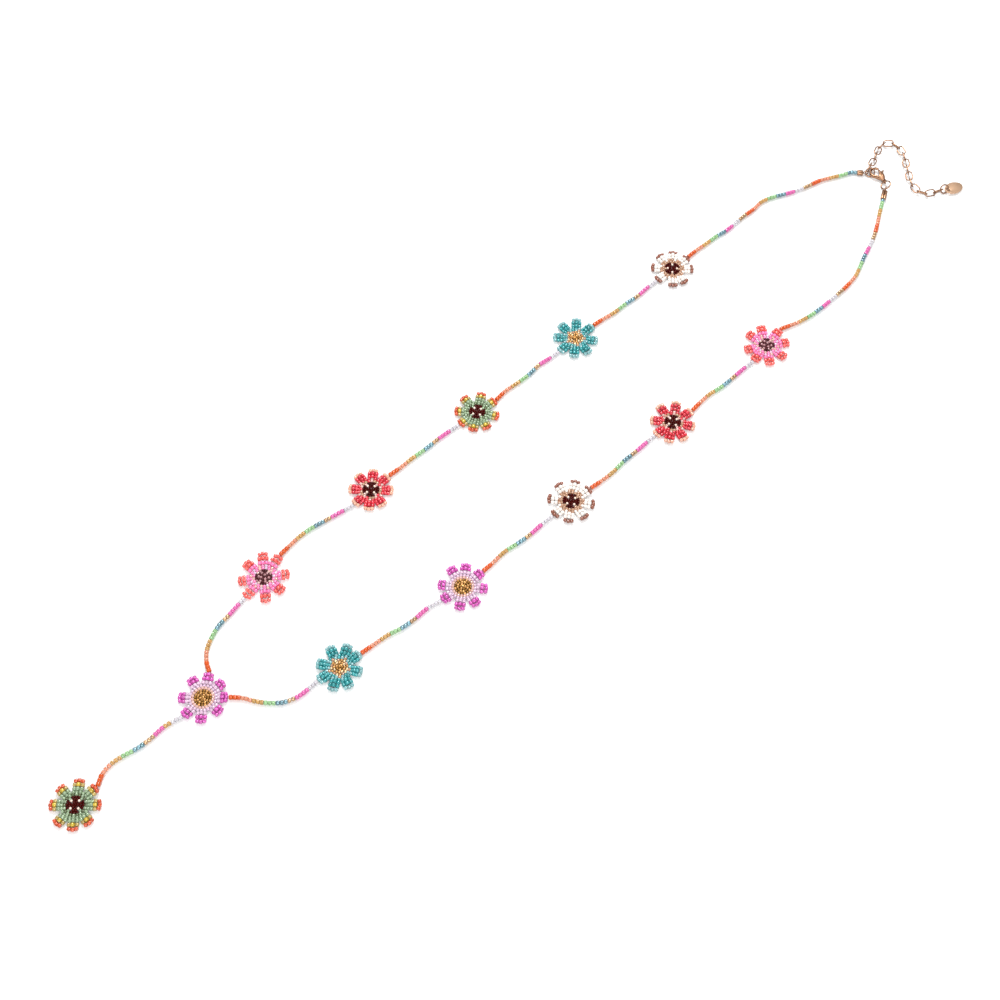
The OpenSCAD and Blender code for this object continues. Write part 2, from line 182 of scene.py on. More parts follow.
# Where each string starts and stops: a flower and its petal, counted from 0, or a cord end. Between them are
# the points that its middle line passes, in millimetres, as in the CAD model.
ROUTES = {
    "string_1": ((1, 1), [(-27.3, 121.5), (-27, 127.5), (-26.9, 133.5), (-26.2, 139.5), (-26.4, 145.5),
        (-26.7, 151.5), (-26.5, 157.5), (-27, 163), (-25.5, 169), (-23, 174.5), (-20.8, 180), (-19.2, 186),
        (-18, 191.5), (-15.7, 197), (-13.3, 202)], "left_cord_end"),
    "string_2": ((2, 1), [(-28, 64), (-27.2, 70.5), (-27.3, 77), (-26.8, 83.5), (-27.2, 90)], (1, 5)),
    "string_3": ((3, 1), [(-28.6, 8.5), (-28.2, 15), (-28.2, 21.5), (-28.9, 27.5), (-28.4, 33.5)], (2, 5)),
    "string_4": ((4, 1), [(-29.5, -48.5), (-29.7, -42), (-29.4, -35.5), (-29.6, -29),
        (-29.4, -22.5)], (3, 5)),
    "string_5": ((5, 2), [(-31.3, -105.5), (-32, -99), (-31.8, -93), (-30.8, -87), (-29.8, -80.5)], (4, 5)),
    "string_6": ((6, 3), [(-13, -159), (-17, -156), (-20, -151.5), (-22.2, -146.5), (-23.2, -141),
        (-24.3, -135.8)], (5, 6)),
    "string_7": ((6, 1), [(7.5, -157.5), (12, -154.5), (16, -151), (19.2, -147), (21, -142),
        (21.3, -137)], (8, 5)),
    "string_8": ((8, 1), [(23.8, -106), (24.3, -100), (25.6, -94), (26, -88), (25.8, -81)], (9, 5)),
    "string_9": ((9, 1), [(28.1, -49.5), (27.5, -43), (28.2, -36.5), (28.6, -30), (28.3, -23.5)], (10, 5)),
    "string_10": ((10, 1), [(29.8, 8.5), (29.9, 15), (29.2, 21.5), (29.2, 28), (29, 34.5)], (11, 5)),
    "string_11": ((11, 1), [(30.1, 65), (29.8, 71), (30.6, 77.5), (30.6, 84), (30.4, 91)], (12, 6)),
    "string_12": ((12, 2), [(28.2, 122), (29.8, 127.5), (30.7, 133.5), (31, 139.5), (31, 145.5),
        (30.8, 151.5), (30.4, 157.5), (29.4, 163.5), (27.2, 169), (24.8, 174.5), (22.6, 180.5), (20, 186.5),
        (16.6, 192.5), (12.8, 198.5)], "right_cord_end"),
    "drop_string": ((7, 2), [(-3, -213.5), (-4, -208.5), (-3.5, -203.5), (-2.5, -198.5), (-2.3, -192.5),
        (-2.8, -186.5), (-2.2, -182)], (6, 6)),
}
# Cord ends: where the eye is, the way to the string in degrees, the barrel's length and the eye's height. All
# lengths from here to the clasp's are in millimetres.
CORD_ENDS = {
    "left_cord_end": ((-6.8, 211.15), 224, 2.6, 1.2),
    "right_cord_end": ((5.55, 210.65), -59, 4.9, 1.37),
}
# Where the barrel begins, its height, its gap to the first bead, and the string's straight run up to it
BARREL_FROM, BARREL_Z, BARREL_GAP, LEAD_IN = 1.3, 1.17, 0.12, 2.5
# The eye's hole, the width of its wall and its thickness
EYE_R, EYE_WALL, EYE_T = 0.7, 0.45, 0.55
# Half of a folded barrel's section, from under its middle up round one flap to the seam: aside and up
FOLD = [(0.0, 0.3), (0.7, 0.3), (1.1, 0.36), (1.2, 0.8), (1.24, 1.17), (1.17, 1.5), (0.95, 1.75),
        (0.66, 1.88), (0.36, 1.87), (0.14, 1.78), (0.0, 1.6)]
FOLD_BEVEL = 0.14
# The neck between the eye and the barrel: along it, and its radius
NECK = [(EYE_R + EYE_WALL / 2, 0.34), (BARREL_FROM - 0.1, 0.42), (BARREL_FROM + 0.2, 0.55)]
# Moves the routes so that the middle of the necklace is over the origin
CENTRING = Vector((-0.04, -0.92))

# Extender chain: where it starts, each link's heading and roll in degrees, and how high the flat links lie
CHAIN_FROM = (-6.8, 212.65)
HEADINGS = (112, 108, 114, 115, 93, 46, 5, -20, -35, -39, -39, -38, -31, -9, 25, 60, 70)
ROLLS = (0, 0, 0, 6, 24, 32, 34, 30, 27, 24, 23, 24, 28, 31, 32, 28, 22)
FLAT_Z = 1.55

# Jump rings: the radius of the wire's circle, then in degrees the heading of the line that it is tilted
# about, the tilt, and where its cut is. The cut's width is in degrees too.
RINGS = {
    "left_ring": (2.0, 44, 32, 150),
    "clasp_ring": (2.2, -46, 32, 60),
    "tag_ring": (1.9, 62, 50, 120),
}
RING_CUT = 3

# Tag, in degrees: how far below its ring's level line the ring passes its hole, its heading and its lean
TAG_TURN, TAG_HEADING, TAG_LEAN = 25, 76, 6
# How far in from the tag's end its hole is, and the bevel of its edges
TAG_HOLE_IN, TAG_BEVEL = 1.4, 0.12

# Clasp: its tail eye, the way that it points, its height and the turn of its tail eye. In its own frame X
# runs to the nose and -Y to the lever.
CLASP_AT, CLASP_WAY, CLASP_Z, TAIL_TURN = (2.6, 213.7), 164, 1.35, -26
# The claw from the tail to the hook: its middle, half width and half thickness
CLAW = [(0.95, 0.0, 0.56, 0.56), (1.35, 0.12, 0.62, 0.72), (1.85, 0.46, 0.68, 0.92), (2.4, 0.88, 0.66, 1.06),
        (2.98, 1.34, 0.64, 1.14), (3.55, 1.86, 0.62, 1.14), (4.08, 2.40, 0.60, 1.04)]
# The hook goes on along a circle from one direction to another. Its first third is wider and thicker.
HOOK_AT, HOOK_R, HOOK_WIRE = (6.2, 1.0), 2.5, 0.55
HOOK_FROM, HOOK_TO, HOOK_STEPS = 128, -52, 16
HOOK_WIDER, HOOK_THICKER = 0.04, 0.36
# The hook's round tip: how far past its end and how thick, as shares of the wire
HOOK_TIP = [(0.45, 0.89), (0.8, 0.6), (0.97, 0.24)]
# The cheeks that hold the lever: their outline, how far from the middle their two sides are, and their bevel
CHEEK = [(0.95, -0.5), (2.0, -0.94), (3.1, -1.34), (4.2, -1.44), (4.75, -1.2), (4.85, -0.7), (4.45, 0.05),
         (4.2, 0.8), (3.7, 1.4), (2.6, 1.1), (1.5, 0.62), (0.95, 0.5)]
CHEEK_FROM, CHEEK_TO, CHEEK_BEVEL = 0.6, 1.1, 0.22
# The rivet's place, its radius, how deep it is set and how flat its head is
PIVOT, RIVET_R, RIVET_SET, RIVET_FLAT = (2.9, -0.3), 0.42, 0.05, 0.4
# The lever's outline with its thumb tab, half its thickness and its bevel
LEVER_HALF, LEVER_BEVEL = 0.5, 0.16
LEVER = [(2.9, 0.53), (2.31, 0.29), (2.07, -0.3), (2.31, -0.89), (2.9, -1.13), (4.3, -1.22), (5.0, -2.4),
         (5.5, -2.78), (5.9, -2.92), (6.17, -2.62), (5.72, -1.9), (5.8, -1.28), (6.93, -1.3), (6.93, -0.64),
         (4.6, -0.17)]


def srgb(code):
    """A web colour as the linear red, green and blue that Blender's sockets hold."""
    parts = [int(code[i:i + 2], 16) / 255 for i in (0, 2, 4)]
    return tuple(p / 12.92 if p <= 0.04045 else ((p + 0.055) / 1.055) ** 2.4 for p in parts)


def tint(name, description, code):
    """A colour property with the colour picker's look."""
    return FloatVectorProperty(name=name, description=description, subtype="COLOR", size=3, min=0.0,
                               max=1.0, default=srgb(code))


def length(name, description, millimetres):
    """A length property, kept in metres."""
    return FloatProperty(name=name, description=description, default=millimetres * MM, min=0.0,
                         subtype="DISTANCE", unit="LENGTH", precision=5)


class SautoirSizes(bpy.types.PropertyGroup):
    """Sizes of the beads, the thread and the metal findings."""

    string_bead: length("String bead", "Diameter of the beads in the strings", 2.0)
    string_pitch: length("String pitch", "From one bead's middle to the next along a string", 1.52)
    net_bead: length("Net bead", "Diameter of the beads in the petals", 1.55)
    net_bead_length: length("Net bead length", "Length of the beads in the petals", 1.36)
    heart_bead: length("Heart bead", "Diameter of the beads in the flowers' hearts", 1.2)
    heart_bead_length: length("Heart bead length", "Length of the beads in the flowers' hearts", 1.02)
    thread: length("Thread", "Diameter of the thread through the beads", 0.3)
    link_length: length("Link length", "Length of a chain link", 5.35)
    link_width: length("Link width", "Width of a chain link", 3.4)
    link_wire: length("Link wire", "Thickness of the links' wire", 0.56)
    link_pitch: length("Link pitch", "From one link's middle to the next", 3.83)
    ring_wire: length("Ring wire", "Thickness of the jump rings' wire", 0.6)
    tag_length: length("Tag length", "Length of the oval tag", 9.4)
    tag_width: length("Tag width", "Width of the oval tag", 6.1)
    tag_thickness: length("Tag thickness", "Thickness of the oval tag", 0.6)
    tag_hole: length("Tag hole", "Radius of the tag's hole", 0.95)


class SautoirColours(bpy.types.PropertyGroup):
    """Colours of the glass beads, the thread and the metal."""

    orange: tint("Orange", "Opaque orange string beads", "C84E00")
    salmon: tint("Salmon", "Translucent salmon string beads", "E49A7C")
    amber: tint("Amber", "Translucent amber string beads", "CEA262")
    leaf: tint("Leaf green", "Translucent light green string beads", "9FC993")
    sea: tint("Sea blue", "Silver-lined blue string beads", "7AA0AC")
    bronze_lined: tint("Gold lined", "Gold-lined brown string beads", "C49E76")
    pink: tint("Hot pink", "Opaque hot pink string beads", "CE5E9E")
    clear: tint("Clear", "Milky clear string beads", "D6D2D8")
    maroon: tint("Maroon", "Dark beads of a flower's heart", "420A06")
    plum: tint("Plum", "Dark beads of the coral flowers' hearts", "4E2328")
    mauve: tint("Mauve", "Lighter beads of the coral flowers' hearts", "A9787C")
    ivory: tint("Ivory", "Light beads between the dark ones", "F0D8C8")
    gold: tint("Gold", "Gold beads of a flower's heart", "C49256")
    antique: tint("Antique gold", "Darker gold beads", "8A5F22")
    straw: tint("Straw", "Pale gold beads", "E0C49A")
    champagne: tint("Champagne", "Beige translucent beads", "C69C80")
    pearl: tint("Pearl", "Pearl white beads", "E8E0DA")
    bronze: tint("Bronze", "Brown beads at the white petals' tips", "8A5240")
    teal: tint("Teal", "Teal petal beads", "34979A")
    aqua: tint("Aqua", "Translucent beads at the teal petals' tips", "8FBFC2")
    sage: tint("Sage", "Silver-lined grey-green beads", "8FA583")
    moss: tint("Moss", "Darker grey-green beads round the green flowers' hearts", "56623E")
    olive: tint("Olive", "Olive beads at the sides of the green petals", "B39C5C")
    yellow: tint("Yellow", "Olive yellow petal beads", "CDB23C")
    vermilion: tint("Vermilion", "Red-orange beads at the green petals' tips", "D2552F")
    red: tint("Red", "Red petal beads", "D32F40")
    peach: tint("Peach", "Translucent beads at the red petals' tips", "F0B8A0")
    blush: tint("Blush", "Pale pink translucent beads", "E8BDB5")
    rose: tint("Rose", "Pink petal beads", "EF7DAF")
    coral: tint("Coral", "Coral red petal beads", "F0645E")
    lilac: tint("Lilac", "Translucent lilac petal beads", "E4C6DC")
    magenta: tint("Magenta", "Magenta petal beads", "CE55B0")
    thread: tint("Thread", "Nylon thread", "E8E4E0")
    rose_gold: tint("Rose gold", "Polished plate of the clasp, rings and chain", "AE8467")
    satin: tint("Satin rose gold", "Satin plate of the tag", "D0AC8E")


# How each glass takes the light. Every glass that isn't named here is opaque.
FINISH = {
    "salmon": "clear", "amber": "clear", "leaf": "clear", "clear": "clear", "champagne": "clear",
    "peach": "clear", "blush": "clear", "lilac": "clear", "aqua": "clear",
    "teal": "lined", "sage": "lined", "moss": "lined", "olive": "lined", "yellow": "lined",
    "vermilion": "lined", "red": "lined", "coral": "lined", "magenta": "lined", "mauve": "lined",
    "sea": "silver", "bronze_lined": "silver", "gold": "metal", "antique": "metal", "straw": "metal",
    "maroon": "dark", "plum": "dark",
}
# Each finish: how far the tone varies from bead to bead and inside a bead, the least and most roughness, and
# the weights of the shader's inner light, transmission, metal, clear coat and specular level. Silver is glass
# with a mirror lining.
GLASS = {
    "opaque": (0.06, 0.05, 0.14, 0.24, 0.25, 0.0, 0.0, 0.2, 0.5),
    "clear": (0.10, 0.10, 0.06, 0.14, 0.55, 0.2, 0.0, 0.0, 0.5),
    "lined": (0.16, 0.30, 0.12, 0.24, 0.20, 0.0, 0.1, 0.4, 0.5),
    "silver": (0.25, 0.45, 0.10, 0.22, 0.0, 0.0, 0.50, 0.3, 0.5),
    "metal": (0.20, 0.25, 0.18, 0.34, 0.0, 0.0, 0.60, 0.0, 0.5),
    "dark": (0.20, 0.20, 0.14, 0.26, 0.0, 0.0, 0.0, 0.0, 0.08),
}


def settings():
    """The scene's sizes and colours."""
    return bpy.context.scene.sautoir_sizes, bpy.context.scene.sautoir_colours


def fill(made, **values):
    """Fills a shader node. Names in small letters are its settings, and all others its inputs.

    An input takes a plain value, or another node's output to link to.
    """
    for name, value in values.items():
        if name.islower():
            setattr(made, name, value)
            continue
        socket = made.inputs[name.replace("_", " ")]
        if isinstance(value, bpy.types.NodeSocket):
            made.id_data.links.new(value, socket)
        else:
            socket.default_value = value


def node(tree, kind, output, **values):
    """Adds a shader node, fills it and gives one of its outputs."""
    made = tree.nodes.new(kind)
    fill(made, **values)
    return made.outputs[output]


def noise(tree, scale, detail, roughness=0.5):
    """Noise over the object's own coordinates."""
    place = node(tree, "ShaderNodeTexCoord", "Object")
    return node(tree, "ShaderNodeTexNoise", "Fac", Vector=place, Scale=scale, Detail=detail,
                Roughness=roughness)


def spread_out(tree, source, low, high, source_low=0.0, source_high=1.0):
    """A value that goes from low to high as its source goes over its own range."""
    return node(tree, "ShaderNodeMapRange", "Result", Value=source, From_Min=source_low,
                From_Max=source_high, To_Min=low, To_Max=high)


def calculate(tree, operation, *sources):
    """The product, the larger or another result of two values."""
    made = tree.nodes.new("ShaderNodeMath")
    made.operation = operation
    for source, socket in zip(sources, made.inputs):
        tree.links.new(source, socket)
    return made.outputs["Value"]


def blend(tree, share, dull, bright):
    """A colour between a dull and a bright one."""
    return node(tree, "ShaderNodeMix", "Result", data_type="RGBA", Factor=share, A=(*dull, 1.0),
                B=(*bright, 1.0))


def new_material(name):
    """A material with its Principled shader, ready for nodes."""
    material = bpy.data.materials.new(name)
    material.use_nodes = True
    return material, material.node_tree, material.node_tree.nodes["Principled BSDF"]


def glass(name):
    """Seed bead glass: each bead has its own tone, and streaks and a lining show inside it."""
    if name in bpy.data.materials:
        return bpy.data.materials[name]
    finish = GLASS[FINISH.get(name, "opaque")]
    spread, depth, smooth, rough, inner_light, clear, metallic, coat, gloss = finish
    material, tree, shader = new_material(name)
    tone = node(tree, "ShaderNodeAttribute", "Fac", attribute_name="bead_tone")
    streaks = noise(tree, scale=1100.0, detail=2.0, roughness=0.6)

    # The glass varies from bead to bead, and again inside each bead
    bead_value = spread_out(tree, tone, 1.0 - spread, 1.0 + spread / 2)
    streak_value = spread_out(tree, streaks, 1.0 - depth, 1.0 + depth / 2, source_low=0.3,
                              source_high=0.7)
    value = calculate(tree, "MULTIPLY", bead_value, streak_value)
    colour = (*getattr(settings()[1], name), 1.0)
    fill(shader,
         Base_Color=node(tree, "ShaderNodeHueSaturation", "Color", Color=colour, Value=value),
         Roughness=spread_out(tree, streaks, smooth, rough),
         Normal=node(tree, "ShaderNodeBump", "Normal", Height=streaks, Strength=0.12, Distance=0.00004),
         IOR=1.52, Specular_IOR_Level=gloss, Transmission_Weight=clear, Metallic=metallic,
         Coat_Weight=coat, Coat_Roughness=0.06, Subsurface_Weight=inner_light,
         Subsurface_Scale=0.0006, Subsurface_Radius=(1.0, 0.9, 0.85))
    return material


def thread_material():
    """White nylon thread, finely twisted."""
    if "thread" in bpy.data.materials:
        return bpy.data.materials["thread"]
    material, tree, shader = new_material("thread")
    colour = Vector(settings()[1].thread)
    twist = noise(tree, scale=6000.0, detail=1.0)
    fill(shader, Base_Color=blend(tree, twist, colour * 0.8, colour), Roughness=0.5)
    return material


def metal(satin=False):
    """Rose gold plate, polished or satin, with faint scratches and a little tarnish."""
    name = "satin_plate" if satin else "polished_plate"
    if name in bpy.data.materials:
        return bpy.data.materials[name]
    colours = settings()[1]
    colour = Vector(colours.satin if satin else colours.rose_gold)
    material, tree, shader = new_material(name)
    tarnish = noise(tree, scale=420.0, detail=4.0, roughness=0.6)
    scratches = noise(tree, scale=5200.0, detail=3.0, roughness=0.7)
    dull, bright = (0.95, 1.1) if satin else (0.45, 1.25)
    smooth, rough = (0.34, 0.52) if satin else (0.12, 0.30)
    fill(shader,
         Base_Color=blend(tree, tarnish, colour * dull, colour * bright),
         Roughness=spread_out(tree, scratches, smooth, rough),
         Normal=node(tree, "ShaderNodeBump", "Normal", Height=scratches, Strength=0.12, Distance=0.00002),
         Metallic=1.0)
    return material


def finish_piece(shape, name, materials, cad_node, body="necklace"):
    """Turns a bmesh into an object that rides on a body and stands for its CAD node."""
    mesh = bpy.data.meshes.new(name)
    bmesh.ops.recalc_face_normals(shape, faces=shape.faces)
    shape.to_mesh(mesh)
    shape.free()
    for material in materials:
        mesh.materials.append(material)
    mesh.shade_smooth()
    mesh.set_sharp_from_angle(angle=SHARP_FROM)
    piece = bpy.data.objects.new(name, mesh)
    bpy.context.scene.collection.objects.link(piece)
    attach(piece, body)
    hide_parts(cad_node)


def bead_shape(name, diameter, bead_length, hole):
    """A seed bead along X, rounded over at both ends into its hole, a share of the diameter."""
    radius, half = diameter / 2, bead_length / 2
    rim = radius * hole
    outline = [(half * x, radius * r) for x, r in BEAD_OUTLINE] + [(half, rim), (-half, rim)]
    outline += [(-half * x, radius * r) for x, r in reversed(BEAD_OUTLINE)]
    shape = bmesh.new()
    points = [shape.verts.new((x, 0, r)) for x, r in outline]
    for a, b in zip(points, points[1:] + points[:1]):
        shape.edges.new((a, b))
    bmesh.ops.spin(shape, geom=shape.verts[:] + shape.edges[:], cent=(0, 0, 0), axis=(1, 0, 0),
                   dvec=(0, 0, 0), angle=math.tau, steps=BEAD_SIDES, use_merge=True, use_duplicate=False)
    bmesh.ops.recalc_face_normals(shape, faces=shape.faces)
    mesh = bpy.data.meshes.new(name)
    shape.to_mesh(mesh)
    shape.free()
    return mesh


class Beadwork:
    """One mesh of many beads, with a material for each glass and a tone for each bead."""

    def __init__(self, seed):
        self.mesh = bmesh.new()
        self.mesh.verts.layers.float.new("bead_tone")
        self.glasses = []
        self.random = random.Random(seed)

    def slot_of(self, name):
        """The place of a glass in the mesh's materials, where it is put if it is new."""
        if name not in self.glasses:
            self.glasses.append(name)
        return self.glasses.index(name)

    def bead(self, shape, at, way, name, size=1.0):
        """Lays a bead with its hole along way, turned about it and a touch smaller than the largest."""
        first, first_face = len(self.mesh.verts), len(self.mesh.faces)
        self.mesh.from_mesh(shape)
        self.mesh.verts.ensure_lookup_table()
        self.mesh.faces.ensure_lookup_table()
        beads = self.mesh.verts[first:]
        turn = Matrix.Rotation(self.random.uniform(0, math.tau), 4, "X")
        girth = size * self.random.uniform(SMALLEST, 1.0)
        grow = Matrix.Diagonal((size * self.random.uniform(SMALLEST, 1.0), girth, girth, 1.0))
        aim = way.to_track_quat("X", "Z").to_matrix().to_4x4()
        bmesh.ops.transform(self.mesh, matrix=Matrix.Translation(at) @ aim @ turn @ grow, verts=beads)
        tone_layer = self.mesh.verts.layers.float["bead_tone"]
        tone = self.random.random()
        for vert in beads:
            vert[tone_layer] = tone
        slot = self.slot_of(name)
        for face in self.mesh.faces[first_face:]:
            face.material_index = slot

    def materials(self):
        """The materials of the glasses that were used, in their order."""
        return [thread_material() if name == "thread" else glass(name) for name in self.glasses]


def sweep(mesh, places, sides, slot=0, closed=False):
    """A tube through places, each a matrix that lays a unit circle across the way."""
    made = bmesh.ops.create_circle(mesh, cap_ends=not closed, radius=1.0, segments=sides, matrix=places[0])
    first, faces = joined_to(made["verts"])
    edges = first
    for last, place in zip(places, places[1:]):
        out = bmesh.ops.extrude_edge_only(mesh, edges=edges)["geom"]
        verts = [part for part in out if isinstance(part, bmesh.types.BMVert)]
        faces += [part for part in out if isinstance(part, bmesh.types.BMFace)]
        edges = [part for part in out if isinstance(part, bmesh.types.BMEdge) and part.is_boundary]
        bmesh.ops.transform(mesh, matrix=place @ last.inverted(), verts=verts)
    if closed:
        faces += bmesh.ops.bridge_loops(mesh, edges=first + edges)["faces"]
    else:
        faces += bmesh.ops.contextual_create(mesh, geom=edges)["faces"]
    for face in faces:
        face.material_index = slot


def joined_to(verts):
    """The edges and the faces that vertices belong to, each once and always in the same order."""
    edges = dict.fromkeys(edge for vert in verts for edge in vert.link_edges)
    faces = dict.fromkeys(face for vert in verts for face in vert.link_faces)
    return list(edges), list(faces)


def across(at, way, radius):
    """A matrix that lays a unit circle at a point and across a way, made as large as the radius."""
    way = way.normalized()
    side = UP.cross(way).normalized()
    lay = Matrix((side, way.cross(side), way)).transposed().to_4x4()
    return Matrix.Translation(at) @ lay @ Matrix.Diagonal((radius, radius, 1.0, 1.0))


def heading(degrees):
    """The level direction at an angle from +X."""
    return Vector((math.cos(math.radians(degrees)), math.sin(math.radians(degrees)), 0))


def flower_middle(n):
    """The point of the surface under a flower's middle, from the frame."""
    low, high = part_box(f"flower_{n}_centre")
    return Vector(((low.x + high.x) / 2, (low.y + high.y) / 2, 0))


def on_table(x, y):
    """A point of the CAD model's routes, in metres in the shared frame."""
    return Vector(((x + CENTRING.x) * MM, (y + CENTRING.y) * MM, 0))


def petal_reach(n, way):
    """How far the petal of flower n in a direction reaches past the usual length, in millimetres."""
    _, reach, stretch, _, _ = FLOWERS[n - 1]
    return reach + stretch * math.cos(math.radians(way - STRETCH_WAY)) ** 2


def bead_flower(n):
    """Nets one flower: a domed heart, rows of beads out from it, and eight petals of nine beads round it."""
    sizes, _ = settings()
    kind, _, _, turn, ways = FLOWERS[n - 1]
    chart, middle = CHARTS[kind], flower_middle(n)
    petal_shape = bead_shape("petal_bead", sizes.net_bead, sizes.net_bead_length, NET_HOLE)
    heart_shape = bead_shape("heart_bead", sizes.heart_bead, sizes.heart_bead_length, NET_HOLE)
    heart, net = Beadwork(HEART_SEED + n), Beadwork(NET_SEED + n)
    # The pattern of the heart is turned with every second petal
    turn += sum(ways[2 * k] - 90 * k for k in range(4)) / 4
    heart.bead(heart_shape, middle + UP * EYE_BEAD_Z * MM, UP, chart["core"][0])
    for work, rings in ((heart, HEART_RINGS), (net, NET_RINGS)):
        for place, radius, height, count, first, hole_turn, size in rings:
            for k in range(count):
                angle = turn + 360 * (k + first) / count
                way = heading(angle + hole_turn + work.random.uniform(-RING_SKEW, RING_SKEW))
                colour = chart[place][k % len(chart[place])]
                girth, lift = ACCENTS.get(colour, (1.0, 0.0))
                at = middle + (heading(angle) * radius + UP * (height + lift)) * MM
                work.bead(heart_shape, at, way, colour, size * girth)
    for way in ways:
        out, side, reach = heading(way), heading(way + 90), petal_reach(n, way)
        for place, far, aside, height, hole_turn, size in PETAL:
            far += reach * (far - PETAL_FROM) / (PETAL_TO - PETAL_FROM)
            at = middle + (out * far + side * aside + UP * height) * MM
            hole = heading(way + hole_turn + net.random.uniform(-PETAL_SKEW, PETAL_SKEW))
            net.bead(petal_shape, at, hole, chart[place][0], size)
    finish_piece(heart.mesh, f"flower_{n}_heart", heart.materials(), f"flower_{n}_centre")
    finish_piece(net.mesh, f"flower_{n}_net", net.materials(), f"flower_{n}_petals")
    for shape in (petal_shape, heart_shape):
        bpy.data.meshes.remove(shape)


def smooth_path(points, steps=8):
    """A smooth curve through the points, as many short steps."""
    path = []
    for i in range(len(points) - 1):
        before = points[max(i - 1, 0)]
        after = points[min(i + 2, len(points) - 1)]
        a, b = points[i], points[i + 1]
        pull = (b - a).length / 3
        start = a + (b - before).normalized() * pull
        stop = b - (after - a).normalized() * pull
        path += interpolate_bezier(a, start, stop, b, steps + 1)[:-1]
    return path + [points[-1]]


def along_path(path, distance):
    """The point and direction at a distance along a path."""
    for a, b in zip(path, path[1:]):
        step = (b - a).length
        if distance <= step or b is path[-1]:
            return a + (b - a) * (distance / step), (b - a).normalized()
        distance -= step
    return path[-1], (path[-1] - path[-2]).normalized()


def string_end(place, back=0.0):
    """Where a string meets a petal's tip or a cord end, or a way back from it in millimetres."""
    if isinstance(place, str):
        eye, way, barrel, _ = CORD_ENDS[place]
        return on_table(*eye) + heading(way) * (BARREL_FROM + barrel + BARREL_GAP + back) * MM
    n, petal = place
    way = FLOWERS[n - 1][4][petal]
    return flower_middle(n) + heading(way) * (STRING_FROM + petal_reach(n, way) + back) * MM


def string_glass(runs, count, repeat):
    """The glass of each bead. The runs repeat, or the last of them goes on, until the string is full."""
    names = []
    while len(names) < count:
        for name, beads in runs:
            names += [name] * beads
        if not repeat:
            names += [runs[-1][0]] * (count - len(names))
    return names[:count]


def bead_string(name):
    """Threads one string of beads along its route."""
    sizes, _ = settings()
    start, between, stop = ROUTES[name]
    height = UP * sizes.string_bead / 2
    points = [string_end(start)] + [on_table(x, y) for x, y in between]
    if isinstance(stop, str):
        points.append(string_end(stop, LEAD_IN))
    points = [point + height for point in points + [string_end(stop)]]
    path = smooth_path(points)
    whole = sum((b - a).length for a, b in zip(path, path[1:]))
    count = round(whole / sizes.string_pitch)
    pitch = whole / count
    runs = {"string_1": END_RUN, "string_12": END_RUN, "drop_string": DROP_RUN}.get(name, RUN)
    names = string_glass(runs, count, repeat=runs is END_RUN)
    work = Beadwork(STRING_SEED + list(ROUTES).index(name))
    shape = bead_shape("string_bead", sizes.string_bead, pitch * SNUG, STRING_HOLE)
    for k, colour in enumerate(names):
        at, way = along_path(path, (k + 0.5) * pitch)
        work.bead(shape, at, way, colour, GIRTH[colour])
    stops = [along_path(path, whole * k / (2 * count)) for k in range(2 * count + 1)]
    thread = [across(*stop, sizes.thread / 2) for stop in stops]
    sweep(work.mesh, thread, sides=6, slot=work.slot_of("thread"))
    finish_piece(work.mesh, f"{name}_beads", work.materials(), name)
    bpy.data.meshes.remove(shape)


def turned(at, degrees, axis="Z"):
    """A matrix that turns about an axis by degrees and then moves to a point."""
    return Matrix.Translation(at) @ Matrix.Rotation(math.radians(degrees), 4, axis)


def chain_link(mesh, place):
    """One oval link of round wire, with its length along the place's X."""
    sizes, _ = settings()
    wire = sizes.link_wire / 2
    bend = (sizes.link_width - sizes.link_wire) / 2
    half = (sizes.link_length - sizes.link_width) / 2
    steps = 9
    rings = []
    for end in (0, 1):
        for k in range(steps + 1):
            turn = math.pi * (k / steps - 0.5 + end)
            out = Vector((math.cos(turn), math.sin(turn), 0))
            way = Vector((-math.sin(turn), math.cos(turn), 0))
            middle = Vector((half if end == 0 else -half, 0, 0))
            rings.append(place @ across(middle + out * bend, way, wire))
    sweep(mesh, rings, sides=10, closed=True)


def extender_links():
    """The extender chain. Every second link stands on edge, and the ones between lie flat."""
    sizes, _ = settings()
    mesh = bmesh.new()
    joint = on_table(*CHAIN_FROM)
    bend = (sizes.link_width - sizes.link_wire) / 2
    for k, (degrees, roll) in enumerate(zip(HEADINGS, ROLLS)):
        on_edge = k % 2 == 0
        rise = bend * math.cos(math.radians(roll)) + sizes.link_wire / 2
        step = heading(degrees) * sizes.link_pitch
        at = joint + step / 2 + UP * (rise if on_edge else FLAT_Z * MM)
        chain_link(mesh, turned(at, degrees) @ turned((0, 0, 0), roll + (90 if on_edge else 0), "X"))
        joint = joint + step
    finish_piece(mesh, "extender_links", [metal()], "extender_chain")


def ring(mesh, place, radius, wire, thickness, cut=0):
    """A ring round the place's Z, of wire so wide and thick, whole or cut through at the place's X."""
    start = place @ Matrix.Rotation(math.radians(cut / 2), 4, "Z") @ Matrix.Translation((radius, 0, 0))
    upright = Matrix.Rotation(math.pi / 2, 4, "X")
    section = start @ upright @ Matrix.Diagonal((wire / 2, thickness / 2, 1, 1))
    made = bmesh.ops.create_circle(mesh, cap_ends=cut > 0, radius=1.0, segments=14, matrix=section)["verts"]
    edges, faces = joined_to(made)
    bmesh.ops.spin(mesh, geom=made + edges + faces, cent=place.translation, axis=place.to_3x3() @ UP,
                   dvec=(0, 0, 0), angle=math.radians(360 - cut), steps=36, use_merge=cut == 0,
                   use_duplicate=False)


